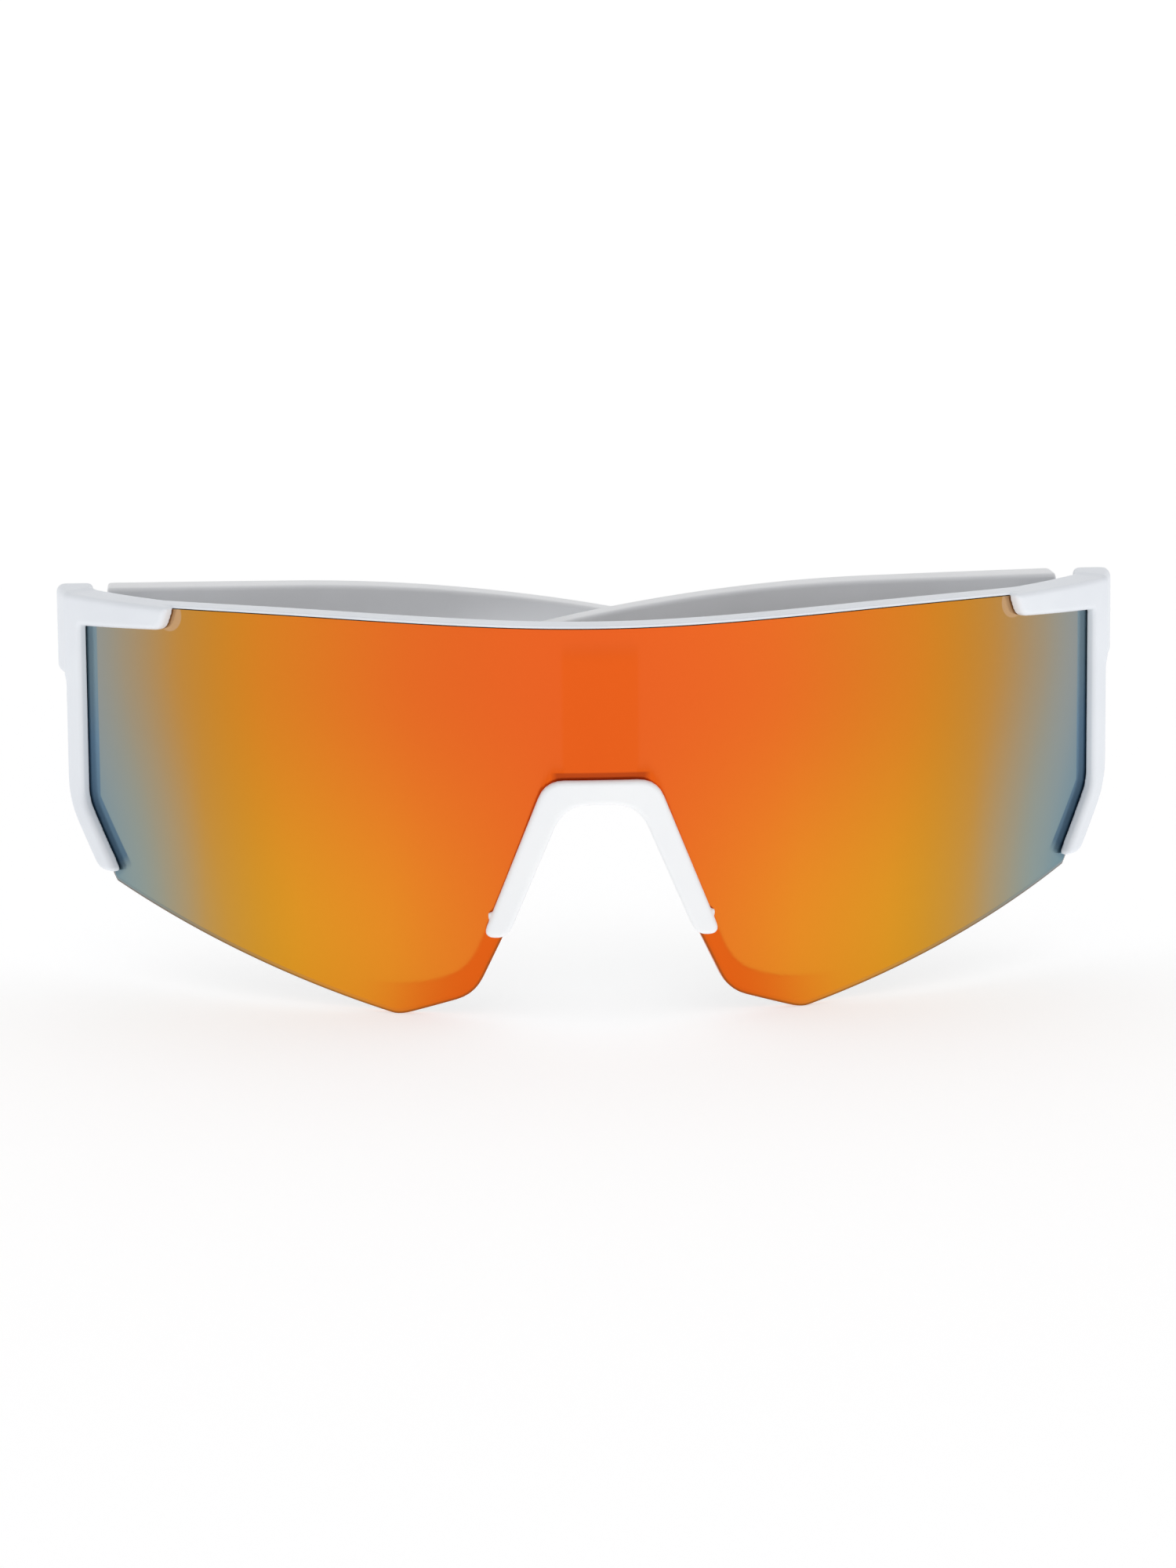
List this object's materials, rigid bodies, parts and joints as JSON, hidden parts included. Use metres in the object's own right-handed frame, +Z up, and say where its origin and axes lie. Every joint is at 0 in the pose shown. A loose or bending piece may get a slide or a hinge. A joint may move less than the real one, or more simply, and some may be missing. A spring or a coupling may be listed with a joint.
{
  "type": "shield sunglasses",
  "caption": "Folding shield sunglasses: a curved mirrored lens in a white moulded front with side bumpers, a clip-on nose piece with soft pads, and arms on small hinges.",
  "frame": {"origin": "the nose saddle: the middle of the nose arch's underside, where the bridge sits on the wearer's nose", "axes": "+Z up as worn, -Y out through the front of the lens, +X towards the viewer's right in the front view"},
  "size_m": [0.1482, 0.0531, 0.0548],
  "materials": {
    "frame": "white moulded nylon, semi-matt",
    "lens": "polycarbonate with an orange mirror coating that turns green-grey and blue towards the sides",
    "nose": "white moulded plastic, semi-matt",
    "pad": "soft white rubber, matt",
    "arm": "white moulded nylon, semi-matt",
    "sleeve": "pale grey rubber, matt",
    "hinge": "stamped steel, satin",
    "screw": "turned steel with a slotted head"
  },
  "bodies": {
    "front": {"front_frame": "frame", "shield_lens": "lens", "nose_bridge": "nose", "nose_pad_left": "pad", "nose_pad_right": "pad", "hinge_front_left": "hinge", "hinge_front_right": "hinge", "hinge_screw_left": "screw", "hinge_screw_right": "screw"},
    "temple_left": {"temple_arm_left": "arm", "ear_sleeve_left": "sleeve", "hinge_arm_left": "hinge"},
    "temple_right": {"temple_arm_right": "arm", "ear_sleeve_right": "sleeve", "hinge_arm_right": "hinge"}
  },
  "joints": [
    {"name": "temple_left_fold", "type": "hinge", "parent": "front", "child": "temple_left", "pos_m": [-0.06732, 0.04133, 0.0165], "axis": [0, 0, 1], "range_deg": [0, 90]},
    {"name": "temple_right_fold", "type": "hinge", "parent": "front", "child": "temple_right", "pos_m": [0.06732, 0.04133, 0.0165], "axis": [0, 0, -1], "range_deg": [0, 96.6]}
  ]
}
